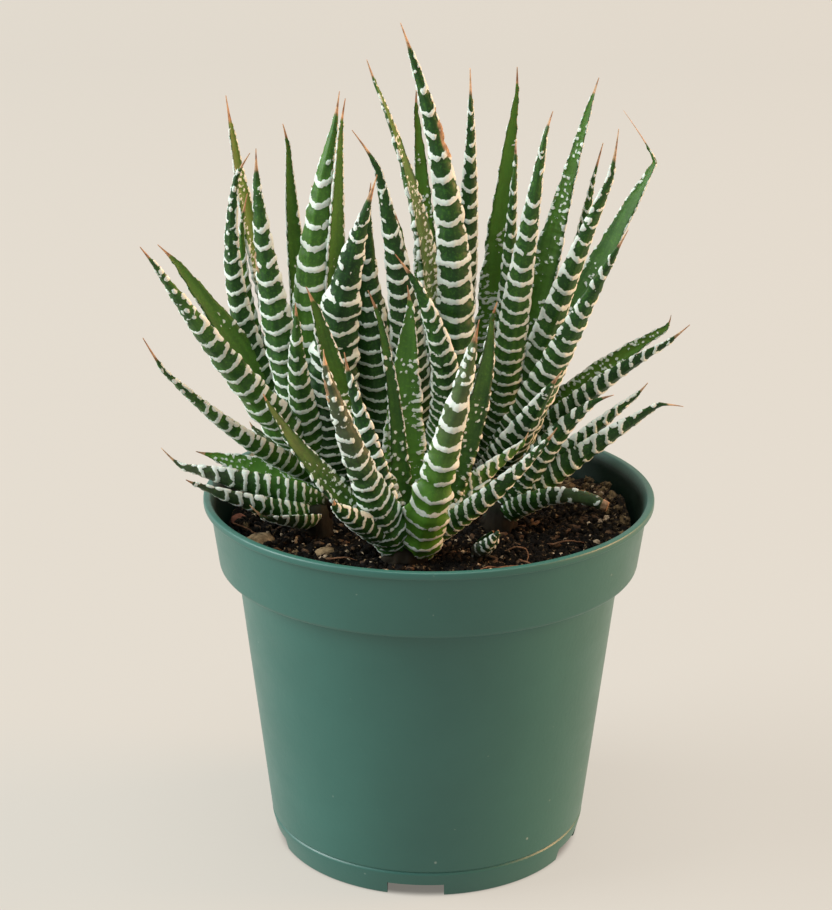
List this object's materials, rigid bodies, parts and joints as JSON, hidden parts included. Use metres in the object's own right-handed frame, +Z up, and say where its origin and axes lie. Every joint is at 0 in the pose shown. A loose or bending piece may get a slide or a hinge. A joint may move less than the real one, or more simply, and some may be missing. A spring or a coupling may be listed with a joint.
{
  "type": "potted haworthia",
  "caption": "Clump of zebra haworthia heads with white-banded pointed leaves, growing from dark soil in a round green plastic nursery pot.",
  "frame": {"origin": "centre of the pot's foot, on the surface it stands on", "axes": "+Z up along the pot's axis, +Y away from the viewer who faces the pot's front, +X to the viewer's right"},
  "size_m": [0.1257, 0.1079, 0.2002],
  "materials": {
    "pot_plastic": "satin green moulded plastic",
    "soil": "damp dark potting mix",
    "leaf": "waxy dark green with raised off-white bands",
    "young_leaf": "waxy grey-green with tight white bands",
    "pebble": "rough tan",
    "red_stone": "rough reddish brown"
  },
  "bodies": {
    "root": {"pot": "pot_plastic", "soil": "soil", "rosette_front": "leaf", "rosette_centre": "leaf", "rosette_left": "leaf", "rosette_right": "leaf", "rosette_right_low": "leaf", "rosette_left_low": "leaf", "rosette_pup": "young_leaf", "pebble_left_large": "pebble", "pebble_left_red": "red_stone", "pebble_front_tan": "pebble", "pebble_right_back": "pebble"}
  },
  "joints": []
}
